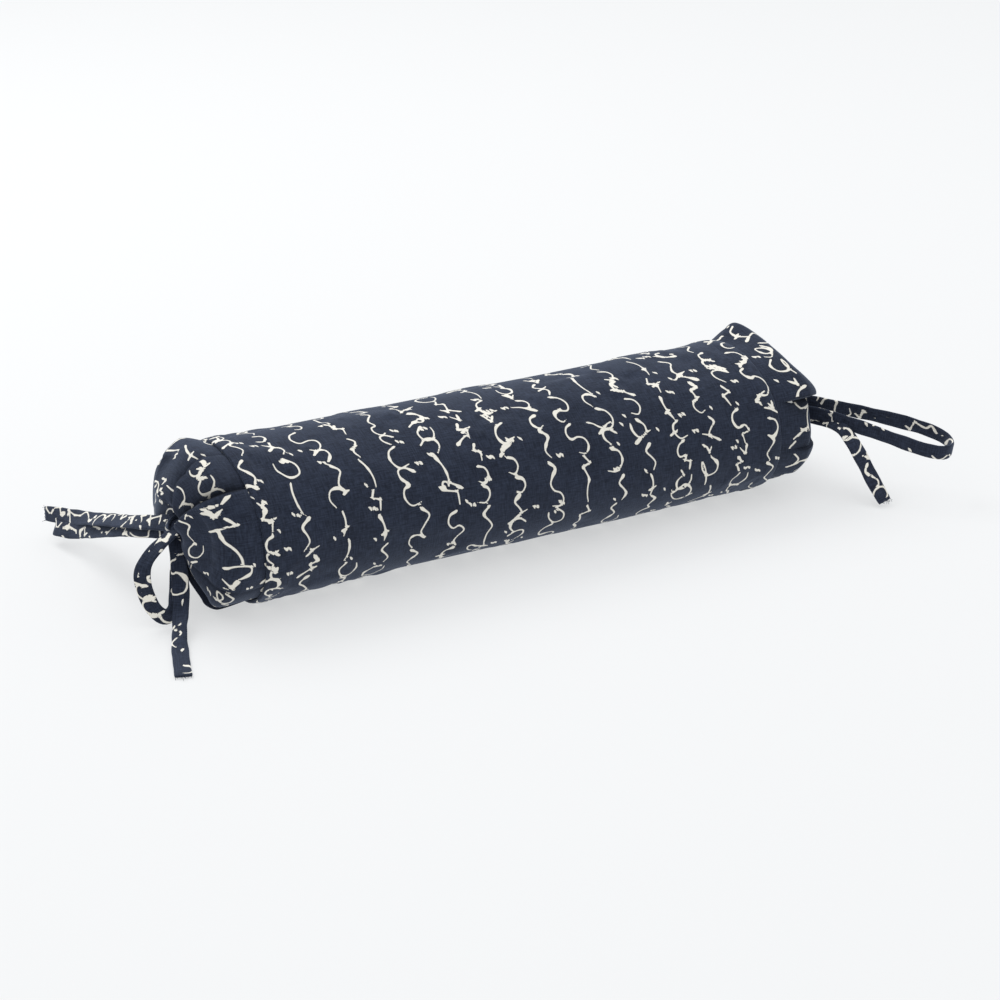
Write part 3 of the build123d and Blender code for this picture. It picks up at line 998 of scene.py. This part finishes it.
# Which way the width points, at a share of the route's length.
TIE_FACES = {
    "left_front_tail": [(0, (0.9, -0.3, 0)), (0.34, (0.9, -0.3, 0)), (0.5, (0.35, -0.85, 0.2)),
                        (0.68, (0.9, -0.45, 0)), (1, (0.95, -0.2, 0))],
    "left_front_loop": [(0, (0.5, -0.8, 0.2)), (0.3, (0.75, -0.6, 0)), (0.45, (0.75, -0.5, 0.2)),
                        (0.57, (0.1, 0, 1)), (0.68, (-0.7, 0.5, 0.4)), (1, (-0.8, 0.5, 0))],
    "left_back_loop": [(0, (0.5, 0, 0.85)), (0.2, (0.8, 0, 0.6)), (0.38, (0.3, 0, 0.95)),
                       (0.5, (0.5, 0.3, 0.8)), (0.6, (0.3, 0, 0.95)), (0.8, (0.8, 0, 0.6)),
                       (1, (0.5, 0, 0.85))],
    "left_back_tail": [(0, (0.6, 0, 0.8)), (0.5, (0.85, 0, 0.5)), (0.85, (0.3, 0, 0.95)),
                       (1, (0.1, 0.2, 1))],
    "right_front_loop": [(0, (0, 0, 1)), (0.5, (0, -0.2, 1)), (1, (0, 0, 1))],
    "right_front_tail": [(0, (0.3, 0.2, 1)), (0.35, (0.8, -0.2, 0.5)), (1, (1, -0.2, 0))],
    "right_back_loop": [(0, (0, 0, 1)), (0.3, (0.5, 0, 0.8)), (0.6, (0.3, 0, 1)), (1, (0, 0, 1))],
    "right_back_tail": [(0, (0.5, 0, 0.8)), (0.5, (1, 0, 0.2)), (1, (1, 0, 0))],
}


# %% [markdown]
# A strap is the section of a flat folded strip, carried along its route. It could be a bevelled
# curve, but then its width couldn't be turned at each place, and it would have no cloth coordinates
# for its print. So the NURBS curve gives only the middle line, and a grid is built round it.

# %% The middle line of a tie
def smooth_route(points):
    """Points read from the NURBS curve whose control points are the route, in mm."""
    curve = bpy.data.curves.new("route", "CURVE")
    curve.dimensions = "3D"
    curve.resolution_u = 16
    spline = curve.splines.new("NURBS")
    spline.points.add(len(points) - 1)
    for point, place in zip(spline.points, points):
        point.co = (*(MM * x for x in place), 1)
    spline.order_u = 3
    spline.use_endpoint_u = True
    holder = bpy.data.objects.new("route", curve)
    mesh = bpy.data.meshes.new_from_object(holder)
    line = np.array([tuple(v.co) for v in mesh.vertices]) / MM
    bpy.data.objects.remove(holder)
    bpy.data.curves.remove(curve)
    bpy.data.meshes.remove(mesh)
    return line


def evenly(line, step):
    """The same line with its points an even step apart, and the distance along it of each."""
    lengths = np.concatenate([[0], np.cumsum(np.linalg.norm(np.diff(line, axis=0), axis=1))])
    count = max(8, int(lengths[-1] / step))
    places = np.linspace(0, lengths[-1], count)
    return np.stack([np.interp(places, lengths, line[:, k]) for k in range(3)], axis=1), places


# %% Make a strap along its middle line
STRAP_STEP = 0.9
CLOSING_LENGTH = 1.2
BARE_END = 1.0
FLOOR_GAP = 0.15


def strap_section(count=22):
    """A flat strap's outline for a half width and half thickness of one: rounded, with fuller edges."""
    angle = np.linspace(0, 2 * math.pi, count)
    wide = np.sign(np.cos(angle)) * np.abs(np.cos(angle)) ** 0.55
    thick = np.sign(np.sin(angle)) * np.abs(np.sin(angle)) ** 0.7 * (0.8 + 0.25 * wide**2)
    return wide, thick


def strap(name, line, faces, cloth_start, seed, width=TIE_WIDTH, thickness=TIE_THICKNESS):
    """A flat strap whose width points where faces say, cut from the cloth at cloth_start. Gives the
    piece, its middle line, its length, and the place and directions of its far end."""
    line, places = evenly(line, STRAP_STEP)
    heading = np.gradient(line, axis=0)
    heading /= np.linalg.norm(heading, axis=1, keepdims=True)
    share = places / places[-1]
    at = [face[0] for face in faces]
    wanted = np.stack([np.interp(share, at, [face[1][k] for face in faces]) for k in range(3)], axis=1)
    wide_way = wanted - (wanted * heading).sum(1, keepdims=True) * heading
    wide_way /= np.linalg.norm(wide_way, axis=1, keepdims=True)
    thick_way = np.cross(heading, wide_way)
    rng = np.random.default_rng(seed)
    waver = sum(a * np.sin(places / length + phase) for a, length, phase in
                zip((0.04, 0.03, 0.02), (9.0, 4.1, 2.3), rng.uniform(0, 6.28, 3)))
    from_end = np.minimum(places, places[-1] - places)
    closing = np.clip(from_end / CLOSING_LENGTH, 0.25, 1) ** 0.5
    half_wide = (width / 2 * (1 + waver) * (0.92 + 0.08 * closing))[:, None, None]
    half_thick = (thickness / 2 * closing)[:, None, None]
    wide, thick = (profile[None, :, None] for profile in strap_section())
    puckers = 1 + 0.10 * np.sin(places / 0.9)[:, None, None] * np.maximum(0, wide) ** 3
    points = (line[:, None] + half_wide * wide * wide_way[:, None]
              + half_thick * thick * puckers * thick_way[:, None])
    points[..., 2] = np.maximum(points[..., 2], FLOOR_GAP)
    perimeter = np.cumsum(np.hypot(np.diff(wide[0, :, 0], prepend=1) * width / 2,
                                   np.diff(thick[0, :, 0], prepend=0) * thickness / 2))
    along = (cloth_start[0] + perimeter)[None, :]
    around = (cloth_start[1] + places)[:, None]
    cut = from_end[:, None] < BARE_END
    piece = cloth_object(name, points, along, around, printed_cotton, bare=cut)
    close_ends(piece, len(places), points.shape[1])
    return piece, line, places[-1], (line[-1], heading[-1], wide_way[-1])


def close_ends(piece, rows, columns):
    """Cap both ends of a strap with one face each."""
    mesh = piece.data
    faces = [list(range(columns - 1))[::-1], [(rows - 1) * columns + i for i in range(columns - 1)]]
    work = bmesh.new()
    work.from_mesh(mesh)
    work.verts.ensure_lookup_table()
    for corners in faces:
        work.faces.new([work.verts[i] for i in corners])
    bmesh.ops.recalc_face_normals(work, faces=work.faces)
    work.to_mesh(mesh)
    work.free()


# %% [markdown]
# A cut cotton tie frays. The threads could be hair, but a few thin three-sided tubes are enough,
# and they stay real meshes that ride with their tie.

# %% Threads at the cut ends, and all the ties
def frayed_threads(name, end, seed, count=16, thread=0.12, rings=4):
    """Short three-sided threads that stick out of a strap's cut end."""
    place, heading, wide_way = end
    rng = np.random.default_rng(seed)
    rows, faces = [], []
    for number in range(count):
        start = place + wide_way * rng.uniform(-0.48, 0.48) * TIE_WIDTH - heading * 0.5
        bend = rng.normal(0, 0.45, 3)
        length = rng.uniform(0.8, 2.6)
        for step in np.linspace(0, 1, rings):
            middle = start + (heading + bend * step) * length * step + heading * 0.3
            middle[2] = max(middle[2], 0.3)
            for corner in ((1, 0, 0), (-0.5, 0.9, 0.3), (-0.5, -0.9, -0.3)):
                rows.append(middle + thread * np.array(corner))
        for ring in range(rings - 1):
            a = 3 * (rings * number + ring)
            faces += [(a + k, a + (k + 1) % 3, a + (k + 1) % 3 + 3, a + k + 3) for k in range(3)]
    mesh = bpy.data.meshes.new(name)
    mesh.from_pydata((np.array(rows) * MM).tolist(), [], faces)
    mesh.materials.append(thread_cotton)
    piece = bpy.data.objects.new(name, mesh)
    bpy.context.collection.objects.link(piece)
    return piece


def make_ties():
    """All the ties. Each takes its own place on the printed cloth, with a column of marks on its face."""
    ties = {}
    for number, (name, route) in enumerate(TIE_ROUTES.items()):
        line = smooth_route(route)
        column = PRINT_START + COLUMN_PITCH * (2.5 + 3 * number)
        middle_of_face = TIE_WIDTH / 2 if "front" in name else 1.7 * TIE_WIDTH
        cloth_start = (column - middle_of_face, 31 + 23 * number)
        piece, line, length, end = strap(f"{name}_strap", line, TIE_FACES[name], cloth_start, seed=number)
        side = name.split("_")[0]
        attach(piece, f"{side}_bow")
        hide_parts(name)
        extras = []
        if name.endswith("tail"):
            extras.append(frayed_threads(f"{name}_threads", end, seed=50 + number))
            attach(extras[0], f"{side}_bow")
        ties[name] = (piece, line, length, extras)
    return ties


ties = make_ties()


# %% [markdown]
# ## The knots
#
# Where loops and tails meet, the tie is wound round itself and pulled tight. A true bow knot could
# be drawn as one strip that passes over and under itself, but pulled tight it shows only its two
# outer turns. So a knot is two short straps, each wound a little more than once round the middle of
# the knot and leaning its own way.

# %% Knots
# The two turns: how each leans, in radians, then its radius and how far it slides along, in mm.
KNOT_TURNS = ((0.35, 5.6, 2.6), (-0.75, 6.3, 1.4))
KNOT_WINDING = 2 * math.pi * 1.35
KNOT_STRAP = {"width": 8.0, "thickness": 1.8}


def make_knot(side):
    """Two turns of the tie wound over each other where the loops and tails meet."""
    low, high = (np.array(corner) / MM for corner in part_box(f"{side}_knot"))
    centre = (low + high) / 2
    turns = np.linspace(0, KNOT_WINDING, 60)
    for number, (tilt, radius, slide) in enumerate(KNOT_TURNS):
        x = radius * np.cos(turns)
        z = radius * np.sin(turns)
        y = slide * (turns / turns[-1] - 0.5) * 2
        y, z = y * math.cos(tilt) - z * math.sin(tilt) * 0.6, z * math.cos(tilt) + y * math.sin(tilt)
        line = centre + np.stack([x, y, z], axis=1)
        faces = [(place, (0, 1, math.tan(tilt))) for place in (0, 1)]
        cloth_start = (-120 + 90 * number, 40)
        name = f"{side}_knot_wrap_{number + 1}"
        piece, *_ = strap(name, line, faces, cloth_start, seed=31 + number, **KNOT_STRAP)
        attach(piece, f"{side}_bow")
    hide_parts(f"{side}_knot")


make_knot("left")
make_knot("right")

# %% [markdown]
# The length of each tie is printed. A tail ends bare, and a loop ends at its knot.

for name, (piece, line, length, extras) in ties.items():
    print(name, "is", round(length, 1), "mm long")
